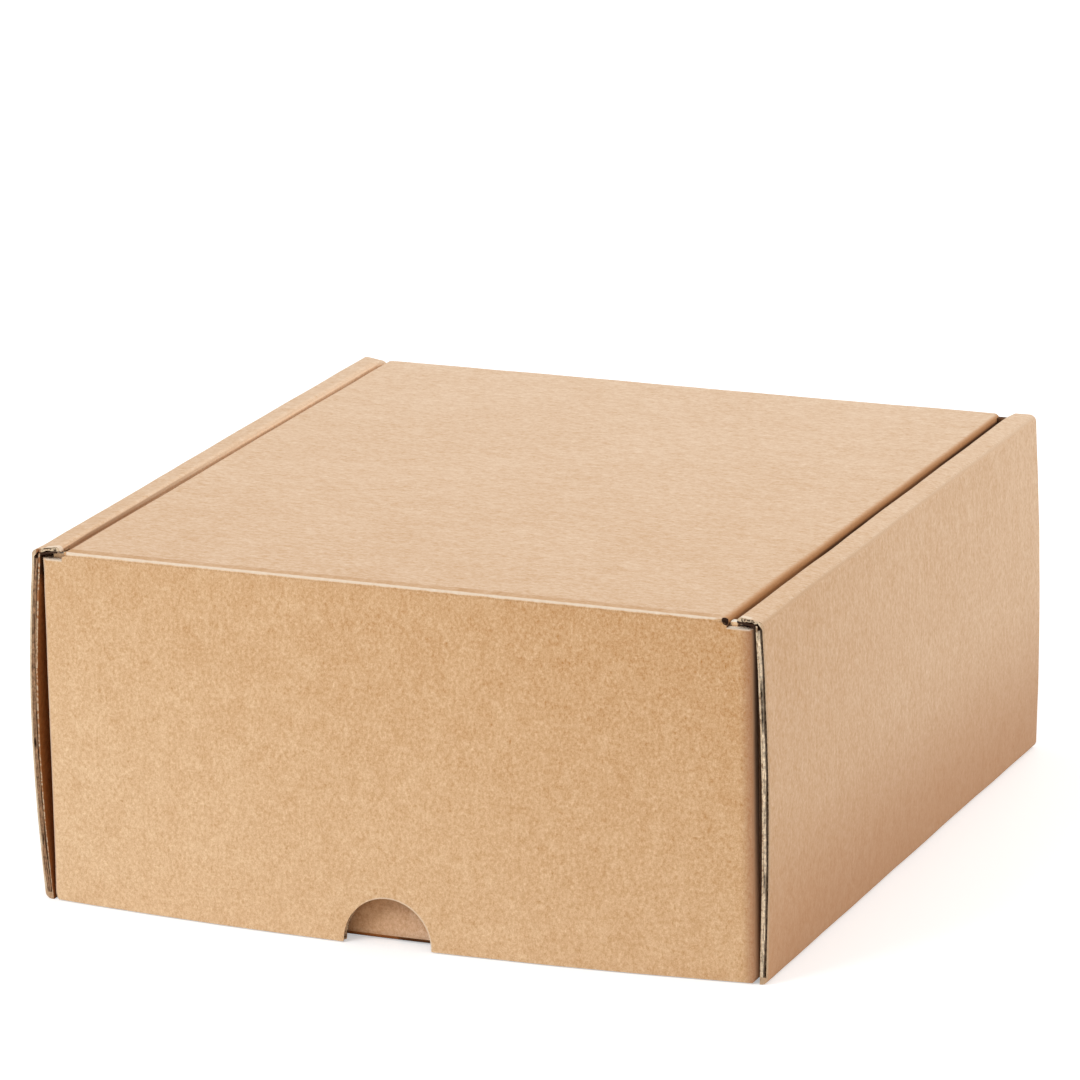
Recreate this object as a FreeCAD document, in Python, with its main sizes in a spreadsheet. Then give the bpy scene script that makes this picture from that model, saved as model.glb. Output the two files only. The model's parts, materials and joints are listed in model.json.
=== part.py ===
import FreeCAD, Part
import math
import os
import Sketcher

# A roll-end tuck-front mailing box, folded from one sheet of corrugated board and standing shut.
# Frame: origin at the centre of the footprint, +X to the right, +Y to the back, +Z up, millimetres.
# Each side wall is double: an outer panel, a narrow strip rolled over the top, and an inner panel
# whose tabs lock in slots of the floor. The end flaps of the front and back walls and the ears of
# the front flap stand in the pockets between the two panels.

SIZES = (
    ("board", 3.0, "thickness of the board"),
    ("play", 0.3, "room left between neighbouring layers"),
    ("box_width", 273.0, "width over the side creases"),
    ("box_depth", 283.0, "depth over the front flap's ends and the back wall"),
    ("lid_top", 128.6, "height of the lid's upper face"),
    ("fold_radius", 2.6, "outer radius of a fold"),
    ("floor_fold_radius", 4.0, "outer radius of the folds between floor, front wall and back wall"),
    ("back_corner_height", 8.0, "height where the back wall widens above its lower corners"),
    ("left_bow", 3.2, "how far the left outer panel bulges at mid height"),
    ("right_bow", 1.6, "how far the right outer panel bulges at mid height"),
    ("side_setback", 0.4, "side walls' cut edges behind the front and back faces"),
    ("left_roll_width", 10.8, "width of the strip rolled over the left side wall"),
    ("right_roll_width", 9.7, "width of the strip rolled over the right side wall"),
    ("roll_board", 2.4, "thickness of that strip, crushed by its two creases"),
    ("roll_drop", 0.1, "strip's outer crease below the lid's top"),
    ("left_roll_rise", 2.0, "rise of the left strip to its inner crease"),
    ("right_roll_rise", 1.4, "rise of the right strip to its inner crease"),
    ("roll_round", 1.7, "outer radius of the strip's inner crease"),
    ("lean_start", 9.0, "depth below the lid's top where an inner panel starts to lean inwards"),
    ("lean_end", 24.0, "depth below the lid's top where the lean ends"),
    ("left_lid_gap", 0.8, "gap between the lid's left edge and the rolled strip"),
    ("right_lid_gap", 3.7, "gap between the lid's right edge and the rolled strip"),
    ("lid_edge_round", 1.8, "rounding of the lid's crushed side edges"),
    ("back_relief_radius", 3.0, "round die-cut relief at each back corner of the lid"),
    ("front_wall_gap", 1.5, "gap between the front flap and the front wall"),
    ("crease_radius", 1.0, "radius of the fold that the front flap turns on"),
    ("crease_gap", 0.06, "hair gap round that fold"),
    ("shoulder_drop", 3.0, "shoulders of the front flap below the lid's top"),
    ("relief_radius", 1.75, "round die-cut relief at each end of the lid's front crease"),
    ("flap_bow", 7.8, "how far the middle of the front flap's lower edge bows out"),
    ("flap_lift", 0.4, "front flap's lower edge above the ground"),
    ("flap_corner_cut", 2.0, "corner cut at the flap's lower corners"),
    ("notch_radius", 16.5, "radius of the thumb notch"),
    ("notch_leg", 0.6, "straight legs of the notch below its round part"),
    ("notch_flare", 0.3, "how much each leg spreads at its foot"),
    ("notch_shift", -1.1, "notch centre from the middle of the box"),
    ("ear_length", 50.0, "how far the flap's ears reach back into the side pockets"),
    ("ear_front_drop", 121.0, "lower edge of an ear below the lid's top, at the flap"),
    ("ear_back_drop", 106.0, "lower edge of an ear below the lid's top, at its tip"),
    ("ear_tip_cut", 12.0, "corner cut at an ear's upper tip"),
    ("ear_tip_round", 12.0, "radius of an ear's lower tip"),
    ("end_flap_length", 62.0, "how far the walls' end flaps reach along the side"),
    ("end_flap_drop", 25.5, "upper edge of an end flap below the lid's top, at its wall"),
    ("end_flap_slope", 8.0, "how much more it drops to its tip"),
    ("end_flap_lift", 2.0, "end flap's lower edge above the floor panel"),
    ("end_flap_round", 10.0, "radius of an end flap's tip corners"),
    ("tab_length", 34.0, "length of a locking tab"),
    ("tab_reach", 72.0, "tab centres in front of and behind the middle"),
    ("tab_lift", 0.4, "locking tab's end above the ground"),
    ("tab_corner_cut", 1.5, "corner cut at a locking tab's end"),
    ("slot_play", 0.6, "room round a locking tab in its slot"),
    ("liner", 0.6, "paper left each side of the void in a cut edge"),
    ("void_depth", 2.0, "depth of the void between the papers in a cut edge"),
)


class Size:
    """A length that knows the sheet expression it comes from."""

    def __init__(self, value, text):
        self.value = value
        self.text = text

    @staticmethod
    def of(number):
        return number if isinstance(number, Size) else Size(float(number), repr(float(number)))

    def __add__(self, other):
        other = Size.of(other)
        return Size(self.value + other.value, f"({self.text} + {other.text})")

    def __sub__(self, other):
        other = Size.of(other)
        return Size(self.value - other.value, f"({self.text} - {other.text})")

    def __mul__(self, other):
        other = Size.of(other)
        return Size(self.value * other.value, f"({self.text} * {other.text})")

    def __truediv__(self, other):
        other = Size.of(other)
        return Size(self.value / other.value, f"({self.text} / {other.text})")

    def __radd__(self, other):
        return Size.of(other) + self

    def __rsub__(self, other):
        return Size.of(other) - self

    def __rmul__(self, other):
        return Size.of(other) * self

    def __neg__(self):
        return Size(-self.value, f"(-{self.text})")


doc = FreeCAD.newDocument("mailing_box")
sheet = doc.addObject("Spreadsheet::Sheet", "Sizes")
for row, (alias, value, meaning) in enumerate(SIZES, start=1):
    sheet.set(f"A{row}", alias)
    sheet.set(f"B{row}", str(value))
    sheet.set(f"C{row}", meaning)
    sheet.setAlias(f"B{row}", alias)
doc.recompute()


def named(alias):
    return Size(float(sheet.get(alias)), f"Sizes.{alias}")


board = named("board")
play = named("play")
half_width = named("box_width") / 2
half_depth = named("box_depth") / 2
lid_top = named("lid_top")
lid_under = lid_top - board
roll_width = {"left": named("left_roll_width"), "right": named("right_roll_width")}
roll_outer_top = lid_top - named("roll_drop")
roll_board = named("roll_board")
fold_radius = named("fold_radius")

# Layers of a side wall, as distances in from its side crease.
layer = board + play
ear_outer = layer
back_flap_outer = layer
end_flap_outer = layer * 2
inner_outer = layer * 3
inner_inner = inner_outer + board
floor_top = board
above_floor = floor_top + play
back_corner = named("back_corner_height")

# Stations from front to back.
front_face = -half_depth
flap_back = front_face + board
wall_front = flap_back + named("front_wall_gap")
wall_back = wall_front + board
back_face = half_depth
back_inner = back_face - board
side_front = front_face + named("side_setback")
side_back = back_face - named("side_setback")

# The crease of the front flap: a round bead along the lid's front edge.
crease_radius = named("crease_radius")
crease_y = front_face + crease_radius
crease_z = lid_top - crease_radius
lid_left = named("left_lid_gap") + roll_width["left"] - half_width
lid_right = half_width - roll_width["right"] - named("right_lid_gap")
shoulder_z = lid_top - named("shoulder_drop")
wall_top = lid_under - play
SIDES = (("left", -1), ("right", 1))

floor_fold_radius = named("floor_fold_radius")
relief_radius = named("relief_radius")
slot_play = named("slot_play")
tab_length = named("tab_length")
tab_reach = named("tab_reach")
crease_gap = named("crease_gap")
flap_bow = named("flap_bow")
notch_radius = named("notch_radius")
notch_x = named("notch_shift")
liner = named("liner")
void_depth = named("void_depth")

# The sides bulge unequally and the flap bows out, so the whole box moves to centre its footprint.
shift_x = (named("left_bow") - named("right_bow")) / 2
shift_y = named("flap_bow") / 2


def sketch_on(body, role, offset, name):
    """An empty sketch on one of the body's origin planes, moved along the plane's normal."""
    plane = next(item for item in body.Origin.OriginFeatures if item.Role == role)
    sketch = body.newObject("Sketcher::SketchObject", name)
    sketch.AttachmentSupport = [(plane, "")]
    sketch.MapMode = "FlatFace"
    sketch.setExpression("AttachmentOffset.Base.z", Size.of(offset).text)
    return sketch


def arc_centre(start, end, bulge):
    """Centre of the arc from start to end that bulges to the right of its chord by bulge."""
    du, dv = end[0] - start[0], end[1] - start[1]
    chord_square = du * du + dv * dv
    share = (chord_square / (bulge * bulge * 8) - 0.5) * bulge
    length = math.sqrt(chord_square.value)
    middle = ((start[0] + end[0]) / 2, (start[1] + end[1]) / 2)
    upright = abs(dv.value) > abs(du.value)
    if upright:
        turn = 1 if dv.value > 0 else -1
        held = middle[0] - share * turn
    else:
        turn = -1 if du.value > 0 else 1
        held = middle[1] - share * turn
    right = FreeCAD.Vector(dv.value / length, -du.value / length, 0)
    top = FreeCAD.Vector(middle[0].value, middle[1].value, 0) + right * bulge.value
    return held, upright, top


def draw(sketch, corners, tag):
    """A closed outline. Each corner is (u, v), or (u, v, bulge) where an arc leads to the next."""
    first = sketch.GeometryCount
    points = [(Size.of(corner[0]), Size.of(corner[1])) for corner in corners]
    arcs = []
    for place, corner in enumerate(corners):
        start, end = points[place], points[(place + 1) % len(points)]
        a = FreeCAD.Vector(start[0].value, start[1].value, 0)
        b = FreeCAD.Vector(end[0].value, end[1].value, 0)
        if len(corner) == 2:
            sketch.addGeometry(Part.LineSegment(a, b))
            continue
        held, upright, top = arc_centre(start, end, Size.of(corner[2]))
        sketch.addGeometry(Part.Arc(a, top, b))
        arcs.append((first + place, held, upright))
    ends = {}
    for place, point in enumerate(points):
        start = FreeCAD.Vector(point[0].value, point[1].value, 0)
        near = (sketch.getPoint(first + place, 1) - start).Length
        far = (sketch.getPoint(first + place, 2) - start).Length
        ends[place] = (1, 2) if near <= far else (2, 1)
    for place in range(len(points)):
        after = (place + 1) % len(points)
        sketch.addConstraint(Sketcher.Constraint(
            "Coincident", first + place, ends[place][1], first + after, ends[after][0]))
    held_sizes = []
    for place, point in enumerate(points):
        held_sizes.append(("DistanceX", first + place, ends[place][0], point[0]))
        held_sizes.append(("DistanceY", first + place, ends[place][0], point[1]))
    for geometry, held, upright in arcs:
        held_sizes.append(("DistanceX" if upright else "DistanceY", geometry, 3, held))
    for count, (kind, geometry, vertex, size) in enumerate(held_sizes):
        index = sketch.addConstraint(Sketcher.Constraint(kind, -1, 1, geometry, vertex, size.value))
        sketch.renameConstraint(index, f"{tag}_{count}")
        sketch.setExpression(f"Constraints.{tag}_{count}", size.text)


def draw_circle(sketch, u, v, radius, tag):
    index = sketch.addGeometry(Part.Circle(
        FreeCAD.Vector(u.value, v.value, 0), FreeCAD.Vector(0, 0, 1), radius.value))
    for kind, size in (("DistanceX", u), ("DistanceY", v)):
        held = sketch.addConstraint(Sketcher.Constraint(kind, -1, 1, index, 3, size.value))
        sketch.renameConstraint(held, f"{tag}_{kind}")
        sketch.setExpression(f"Constraints.{tag}_{kind}", size.text)
    held = sketch.addConstraint(Sketcher.Constraint("Radius", index, radius.value))
    sketch.renameConstraint(held, f"{tag}_radius")
    sketch.setExpression(f"Constraints.{tag}_radius", radius.text)


def confirm(body, feature):
    """Recomputes, and stops at the first feature that fails or leaves a faulty solid."""
    doc.recompute()
    if "Invalid" in feature.State or not body.Shape.isValid() or len(body.Shape.Solids) != 1:
        raise RuntimeError(f"{feature.Label} failed: {feature.getStatusString()}")


def pad(body, sketch, length, name):
    feature = body.newObject("PartDesign::Pad", name)
    feature.Profile = sketch
    feature.setExpression("Length", Size.of(length).text)
    sketch.Visibility = False
    confirm(body, feature)
    return feature


def pocket(body, sketch, length, name, upwards=False):
    """A pocket, which has to take some volume away."""
    before = body.Shape.Volume
    feature = body.newObject("PartDesign::Pocket", name)
    feature.Profile = sketch
    feature.Reversed = upwards
    feature.setExpression("Length", Size.of(length).text)
    sketch.Visibility = False
    confirm(body, feature)
    if not body.Shape.Volume < before - 1e-6:
        raise RuntimeError(f"{name} cuts nothing")
    return feature


def round_edges(body, chosen, radius, name):
    """A fillet on every edge of the body that chosen(edge) accepts."""
    edges = [f"Edge{n}" for n, edge in enumerate(body.Tip.Shape.Edges, start=1) if chosen(edge)]
    if not edges:
        raise RuntimeError(f"{name} finds no edge")
    rounded = body.Tip
    feature = body.newObject("PartDesign::Fillet", name)
    feature.Base = (rounded, edges)
    feature.setExpression("Radius", Size.of(radius).text)
    confirm(body, feature)
    return feature


def straight_edge(axis, **near):
    """A test for straight edges along an axis whose middle has the given coordinates."""
    def accepts(edge):
        if len(edge.Vertexes) != 2:
            return False
        run = edge.Vertexes[1].Point - edge.Vertexes[0].Point
        if abs(run.Length - edge.Length) > 1e-6 or abs(abs(run.dot(axis)) - run.Length) > 1e-6:
            return False
        middle = edge.CenterOfMass
        return all(abs(getattr(middle, letter) - Size.of(size).value) < 0.01
                   for letter, size in near.items())
    return accepts


ALONG_X = FreeCAD.Vector(1, 0, 0)
ALONG_Y = FreeCAD.Vector(0, 1, 0)
ALONG_Z = FreeCAD.Vector(0, 0, 1)


def side_frame(side):
    """Turns a distance in from the side crease into X."""
    return lambda inward: (half_width - inward) * side


def floor_and_walls(body):
    """Floor, front wall and back wall, whose ends stand just inside what covers them."""
    reach = half_width - end_flap_outer
    sketch = sketch_on(body, "YZ_Plane", -reach, "floor_profile")
    draw(sketch, [
        (wall_front, 0), (back_face, 0), (back_face, wall_top), (back_inner, wall_top),
        (back_inner, floor_top), (wall_back, floor_top), (wall_back, wall_top),
        (wall_front, wall_top)], "floor")
    pad(body, sketch, reach * 2, "floor_and_walls")
    for name, wall in (("front", wall_front), ("back", back_face)):
        round_edges(body, straight_edge(ALONG_X, y=wall, z=0), floor_fold_radius,
                    f"{name}_floor_fold")
    reach = half_width - back_flap_outer
    sketch = sketch_on(body, "YZ_Plane", -reach, "back_wall_profile")
    draw(sketch, [
        (back_inner, back_corner), (back_face, back_corner), (back_face, wall_top),
        (back_inner, wall_top)], "back")
    pad(body, sketch, reach * 2, "back_wall")


def floor_strip(body, name, side):
    """The strip of floor under a side pocket, which carries the outer panel."""
    x = side_frame(side)
    front = wall_front + floor_fold_radius + play
    back = back_face - floor_fold_radius - play
    sketch = sketch_on(body, "XY_Plane", 0, f"{name}_floor_strip")
    draw(sketch, [
        (x(board / 2), front), (x(inner_outer), front),
        (x(inner_outer), back), (x(board / 2), back)], "strip")
    pad(body, sketch, board, f"{name}_floor_strip_pad")


def locking_slots(body, name, side):
    """Slots through the floor for the inner panel's tabs."""
    x = side_frame(side)
    near, far = inner_outer - slot_play, inner_inner + slot_play
    half = tab_length / 2 + slot_play
    sketch = sketch_on(body, "XY_Plane", floor_top, f"{name}_slot_outline")
    for way, tag in ((-1, "front"), (1, "back")):
        centre = tab_reach * way
        draw(sketch, [
            (x(near), centre - half), (x(far), centre - half),
            (x(far), centre + half), (x(near), centre + half)], f"{tag}_slot")
    pocket(body, sketch, board + play, f"{name}_slots")


def outer_panel(body, name, side):
    """Outer panel of a side wall with the strip rolled over its top."""
    x = side_frame(side)
    width = roll_width[name]
    outward = named(f"{name}_bow") * side
    sketch = sketch_on(body, "XZ_Plane", -side_back, f"{name}_outer_profile")
    draw(sketch, [
        (x(0), 0, outward), (x(0), roll_outer_top), (x(width), roll_crest(name)),
        (x(width), roll_crest(name) - roll_board), (x(board), strip_under(name, board), -outward),
        (x(board), 0)], "outer")
    pad(body, sketch, side_back - side_front, f"{name}_outer_panel")


def inner_panel(body, name, side):
    """Inner panel, which leans inwards below the strip to make room for the end flap."""
    x = side_frame(side)
    width = roll_width[name]
    crest = roll_crest(name)
    upper = lid_top - named("lean_start")
    lower = lid_top - named("lean_end")
    sketch = sketch_on(body, "XZ_Plane", -(back_inner - play), f"{name}_inner_profile")
    draw(sketch, [
        (x(width), crest - roll_board / 2), (x(width), upper), (x(inner_inner), lower),
        (x(inner_inner), above_floor), (x(inner_outer), above_floor), (x(inner_outer), lower),
        (x(width - board), upper), (x(width - board), strip_under(name, width - board) + play)],
        "inner")
    pad(body, sketch, back_inner - wall_back - play * 2, f"{name}_inner_panel")


def locking_tabs(body, name, side):
    """Tabs below the inner panel, standing in the floor's slots."""
    offset = half_width - inner_inner if side > 0 else inner_outer - half_width
    corner = named("tab_corner_cut")
    foot = named("tab_lift")
    sketch = sketch_on(body, "YZ_Plane", offset, f"{name}_tab_outline")
    for way, tag in ((-1, "front"), (1, "back")):
        front = tab_reach * way - tab_length / 2
        back = tab_reach * way + tab_length / 2
        draw(sketch, [
            (front, above_floor + board), (front, foot + corner), (front + corner, foot),
            (back - corner, foot), (back, foot + corner), (back, above_floor + board)], f"{tag}_tab")
    pad(body, sketch, board, f"{name}_tabs")


def end_flap(body, name, side, where, wall, way, outer):
    """A flap that turns from the end of a wall along the inside of the side pocket."""
    start = half_width - outer
    offset = start - board if side > 0 else -start
    low = floor_top + named("end_flap_lift")
    high = lid_top - named("end_flap_drop")
    tip_high = high - named("end_flap_slope")
    tip = wall + named("end_flap_length") * way
    sketch = sketch_on(body, "YZ_Plane", offset, f"{name}_{where}_end_flap_outline")
    draw(sketch, [(wall, low), (tip, low), (tip, tip_high), (wall, high)], "flap")
    pad(body, sketch, board, f"{name}_{where}_end_flap")
    for corner, height in (("lower", low), ("upper", tip_high)):
        round_edges(body, straight_edge(ALONG_X, x=(start - board / 2) * side, y=tip, z=height),
                    named("end_flap_round"), f"{name}_{where}_end_flap_{corner}_tip")


def lid(body):
    """The lid with the fold at its back and the bead that the front flap turns on."""
    sketch = sketch_on(body, "YZ_Plane", lid_left, "lid_profile")
    draw(sketch, [
        (crease_y, lid_top), (crease_y, crease_z), (crease_y + (crease_z - lid_under), lid_under),
        (back_inner, lid_under), (back_inner, wall_top - board), (back_face, wall_top - board),
        (back_face, lid_top)], "lid")
    pad(body, sketch, lid_right - lid_left, "lid_panel")
    round_edges(body, straight_edge(ALONG_X, y=back_face, z=lid_top), fold_radius, "lid_back_fold")
    for name, edge in (("left", lid_left), ("right", lid_right)):
        round_edges(body, straight_edge(ALONG_Y, x=edge, z=lid_top), named("lid_edge_round"),
                    f"lid_{name}_edge")
    sketch = sketch_on(body, "YZ_Plane", lid_left, "crease_profile")
    draw_circle(sketch, crease_y, crease_z, crease_radius, "crease")
    pad(body, sketch, lid_right - lid_left, "crease_bead")
    sketch = sketch_on(body, "XY_Plane", lid_top, "lid_relief_outline")
    for name, edge in (("left", lid_left), ("right", lid_right)):
        draw_circle(sketch, edge, front_face, relief_radius, f"{name}_front_relief")
        draw_circle(sketch, edge, back_face, named("back_relief_radius"), f"{name}_back_relief")
    pocket(body, sketch, board + play, "lid_reliefs")


def roll_crest(name):
    return roll_outer_top + named(f"{name}_roll_rise")


def strip_under(name, inward):
    """Height of the rolled strip's underside at a distance in from the side crease."""
    return roll_outer_top - roll_board + named(f"{name}_roll_rise") * inward / roll_width[name]


def edge_voids(body, name, side):
    """The open void between the papers, seen in the front and back cut edges of a side wall."""
    x = side_frame(side)
    outward = named(f"{name}_bow") * side
    thin = liner * roll_board / board
    under_start = strip_under(name, board) + thin
    under_end = roll_crest(name) - roll_board + thin
    inner_end = roll_width[name] - named("roll_round")
    for where, start in (("front", side_front - play), ("back", side_back - void_depth)):
        sketch = sketch_on(body, "XZ_Plane", -start, f"{name}_{where}_void_outline")
        draw(sketch, [
            (x(liner), fold_radius, outward), (x(liner), roll_outer_top - fold_radius),
            (x(fold_radius), strip_under(name, fold_radius) + roll_board - thin),
            (x(inner_end), under_end + roll_board - thin * 2), (x(inner_end), under_end),
            (x(board - liner), under_start, -outward), (x(board - liner), fold_radius)], "void")
        pocket(body, sketch, void_depth + play, f"{name}_{where}_void")


def box_body():
    body = doc.addObject("PartDesign::Body", "box_body")
    body.Label = "box_body"
    floor_and_walls(body)
    for name, side in SIDES:
        floor_strip(body, name, side)
        locking_slots(body, name, side)
        x = side_frame(side)
        outer_panel(body, name, side)
        round_edges(body, straight_edge(ALONG_Y, x=x(0), z=0), fold_radius, f"{name}_floor_fold")
        round_edges(body, straight_edge(ALONG_Y, x=x(0), z=roll_outer_top), fold_radius,
                    f"{name}_outer_fold")
        round_edges(body, straight_edge(ALONG_Y, x=x(roll_width[name]), z=roll_crest(name)),
                    named("roll_round"), f"{name}_inner_fold")
        edge_voids(body, name, side)
        inner_panel(body, name, side)
        locking_tabs(body, name, side)
        end_flap(body, name, side, "front", wall_front, 1, end_flap_outer)
        end_flap(body, name, side, "back", back_face, -1, back_flap_outer)
        for where, wall, outer in (
                ("front", wall_front, end_flap_outer), ("back", back_face, back_flap_outer)):
            round_edges(body, straight_edge(ALONG_Z, x=x(outer), y=wall), fold_radius,
                        f"{name}_{where}_corner_fold")
    lid(body)
    return body


def bow_profile(body, height, bow, name):
    """The flap's section at a height, with both faces bowed towards the front."""
    reach = half_width - ear_outer
    sketch = sketch_on(body, "XY_Plane", height, name)
    front = [(-reach, front_face), (reach, front_face)]
    if bow is None:
        draw(sketch, [*front, (reach, flap_back), (-reach, flap_back)], "section")
    else:
        draw(sketch, [(*front[0], bow), front[1], (reach, flap_back, -bow), (-reach, flap_back)],
             "section")
    return sketch


def flap_panel(body):
    """The panel that covers the front: straight at its crease, and bowed out at its lower edge."""
    foot = named("flap_lift")
    section = bow_profile(body, foot, flap_bow, "flap_foot_section")
    feature = body.newObject("PartDesign::AdditiveLoft", "flap_panel")
    feature.Profile = section
    feature.Sections = [bow_profile(body, crease_z, None, "flap_crease_section")]
    feature.Ruled = True
    confirm(body, feature)
    flap_outline(body)


def flap_outline(body):
    """Cuts the thumb notch, the lower corners and the shoulders out of the panel."""
    reach = half_width - ear_outer
    corner = named("flap_corner_cut")
    foot = named("flap_lift")
    notch_left, notch_right = notch_x - notch_radius, notch_x + notch_radius
    notch_top = foot + named("notch_leg")
    flare = named("notch_flare")
    low, high = foot - play, crease_z + play
    sketch = sketch_on(body, "XZ_Plane", -(front_face - flap_bow - play), "flap_outline")
    draw(sketch, [
        (notch_left - flare, low), (notch_left, notch_top, -notch_radius), (notch_right, notch_top),
        (notch_right + flare, low)], "notch")
    for tag, side, edge in (("left", -1, lid_left), ("right", 1, lid_right)):
        draw(sketch, [
            ((reach + play) * side, low), ((reach + play) * side, foot + corner + play),
            ((reach - corner - play) * side, low)], f"{tag}_corner")
        draw(sketch, [
            (edge, shoulder_z), ((reach + play) * side, shoulder_z), ((reach + play) * side, high),
            (edge, high)], f"{tag}_shoulder")
    pocket(body, sketch, flap_bow + board + play * 2, "flap_cuts")


def flap_crease(body):
    """The mitred, hollowed upper edge that turns round the lid's bead."""
    gap = crease_gap * math.sqrt(2)
    behind = flap_back - crease_y
    sketch = sketch_on(body, "YZ_Plane", lid_right + play, "mitre_profile")
    draw(sketch, [
        (crease_y, crease_z + play), (crease_y, crease_z - gap),
        (flap_back + play, crease_z - gap - behind - play), (flap_back + play, crease_z + play)], "mitre")
    pocket(body, sketch, lid_right - lid_left + play * 2, "crease_mitre")
    sketch = sketch_on(body, "YZ_Plane", lid_right + play, "hollow_profile")
    draw_circle(sketch, crease_y, crease_z, crease_radius + crease_gap, "hollow")
    pocket(body, sketch, lid_right - lid_left + play * 2, "crease_hollow")
    sketch = sketch_on(body, "XZ_Plane", -(front_face - play), "flap_relief_outline")
    draw_circle(sketch, lid_left, lid_top, relief_radius, "left_relief")
    draw_circle(sketch, lid_right, lid_top, relief_radius, "right_relief")
    pocket(body, sketch, board + play * 2, "flap_reliefs")


def ear(body, name, side):
    """The ear that turns back from the flap's end into the side pocket."""
    start = half_width - ear_outer
    offset = start - board if side > 0 else -start
    tip = front_face + named("ear_length")
    cut = named("ear_tip_cut")
    low = lid_top - named("ear_back_drop")
    sketch = sketch_on(body, "YZ_Plane", offset, f"{name}_ear_outline")
    draw(sketch, [
        (front_face, lid_top - named("ear_front_drop")), (tip, low), (tip, shoulder_z - cut),
        (tip - cut, shoulder_z), (front_face, shoulder_z)], "ear")
    pad(body, sketch, board, f"{name}_ear")
    round_edges(body, straight_edge(ALONG_X, x=(start - board / 2) * side, y=tip, z=low),
                named("ear_tip_round"), f"{name}_ear_tip")
    round_edges(body, straight_edge(ALONG_Z, x=start * side, y=front_face), fold_radius,
                f"{name}_ear_fold")


def flap_voids(body):
    """The open void between the papers in the flap's lower edge, notch and shoulders."""
    reach = half_width - ear_outer
    end = reach - board
    share = end * end / (reach * reach)
    bow = flap_bow * share
    foot = named("flap_lift")
    near = front_face - flap_bow + bow + liner
    far = near + board - liner * 2
    sketch = sketch_on(body, "XY_Plane", foot - play, "lower_void_outline")
    draw(sketch, [(-end, near, bow), (end, near), (end, far, -bow), (-end, far)], "void")
    pocket(body, sketch, void_depth + play, "lower_void", upwards=True)

    outer, inner = notch_radius + void_depth, notch_radius - play
    leg = named("notch_leg")
    sketch = sketch_on(body, "XZ_Plane", -(front_face - flap_bow + liner), "notch_void_outline")
    lean = Size.of(crease_z - foot)
    angle = math.degrees(math.atan(flap_bow.value / lean.value))
    sketch.AttachmentOffset = FreeCAD.Placement(
        sketch.AttachmentOffset.Base, FreeCAD.Rotation(FreeCAD.Vector(-1, 0, 0), angle))
    sketch.setExpression("AttachmentOffset.Base.y", foot.text)
    sketch.setExpression("AttachmentOffset.Rotation.Angle", f"atan({flap_bow.text} / {lean.text})")
    draw(sketch, [
        (notch_x - outer, void_depth), (notch_x - outer, leg + void_depth, -outer),
        (notch_x + outer, leg + void_depth), (notch_x + outer, void_depth),
        (notch_x + inner, void_depth), (notch_x + inner, leg, inner), (notch_x - inner, leg),
        (notch_x - inner, void_depth)], "void")
    pocket(body, sketch, board - liner * 2, "notch_void")

    sketch = sketch_on(body, "XY_Plane", shoulder_z + play, "shoulder_void_outline")
    for tag, near, far in (("left", lid_left, -end), ("right", lid_right, end)):
        draw(sketch, [
            (near, front_face + liner), (far, front_face + liner),
            (far, flap_back - liner), (near, flap_back - liner)], f"{tag}_void")
    pocket(body, sketch, void_depth + play, "shoulder_voids")


def front_flap():
    body = doc.addObject("PartDesign::Body", "front_flap")
    body.Label = "front_flap"
    flap_panel(body)
    flap_crease(body)
    for name, side in SIDES:
        ear(body, name, side)
    flap_voids(body)
    return body


bodies = [box_body(), front_flap()]
for body in bodies:
    body.setExpression("Placement.Base.x", shift_x.text)
    body.setExpression("Placement.Base.y", shift_y.text)
doc.recompute()
for body in bodies:
    shape = body.Shape
    print(body.Label, shape.isValid(), len(shape.Solids), shape.Volume, shape.BoundBox)

os.makedirs("parts", exist_ok=True)
for item in doc.Objects:
    if "Invalid" in item.State or "Error" in item.State:
        raise RuntimeError(f"{item.Label} failed: {item.State}")
for body in bodies:
    if body.Shape.isNull() or not body.Shape.isValid():
        raise RuntimeError(f"{body.Label} has no valid shape")
    body.Shape.exportStep(f"parts/{body.Label}.step")
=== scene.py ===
"""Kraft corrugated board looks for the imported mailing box."""

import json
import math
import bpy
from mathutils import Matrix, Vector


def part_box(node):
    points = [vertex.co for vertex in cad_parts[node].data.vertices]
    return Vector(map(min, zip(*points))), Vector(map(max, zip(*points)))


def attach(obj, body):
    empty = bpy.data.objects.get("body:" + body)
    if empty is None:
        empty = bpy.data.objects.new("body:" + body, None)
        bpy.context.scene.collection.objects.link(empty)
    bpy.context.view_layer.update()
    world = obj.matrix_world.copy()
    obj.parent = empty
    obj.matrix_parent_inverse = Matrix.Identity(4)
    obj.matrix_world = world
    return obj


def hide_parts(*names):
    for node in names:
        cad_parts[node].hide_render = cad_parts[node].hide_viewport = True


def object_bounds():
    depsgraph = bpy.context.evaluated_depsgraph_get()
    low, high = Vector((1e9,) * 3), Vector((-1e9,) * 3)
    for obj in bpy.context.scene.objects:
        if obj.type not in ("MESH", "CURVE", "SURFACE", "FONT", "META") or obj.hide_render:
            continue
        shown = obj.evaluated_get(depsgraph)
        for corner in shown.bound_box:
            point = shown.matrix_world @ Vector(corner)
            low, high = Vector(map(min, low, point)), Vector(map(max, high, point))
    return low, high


bl_info = {
    "name": "Kraft mailing box",
    "version": (1, 0, 0),
    "blender": (4, 5, 0),
    "location": "3D View > Sidebar > Mailing box",
    "description": "Dresses the packed mailing box as kraft corrugated board on a plain stage",
    "category": "Object",
}

import bmesh
import bpy
from bpy.props import FloatProperty, FloatVectorProperty
from mathutils import Euler, Vector, noise

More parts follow.
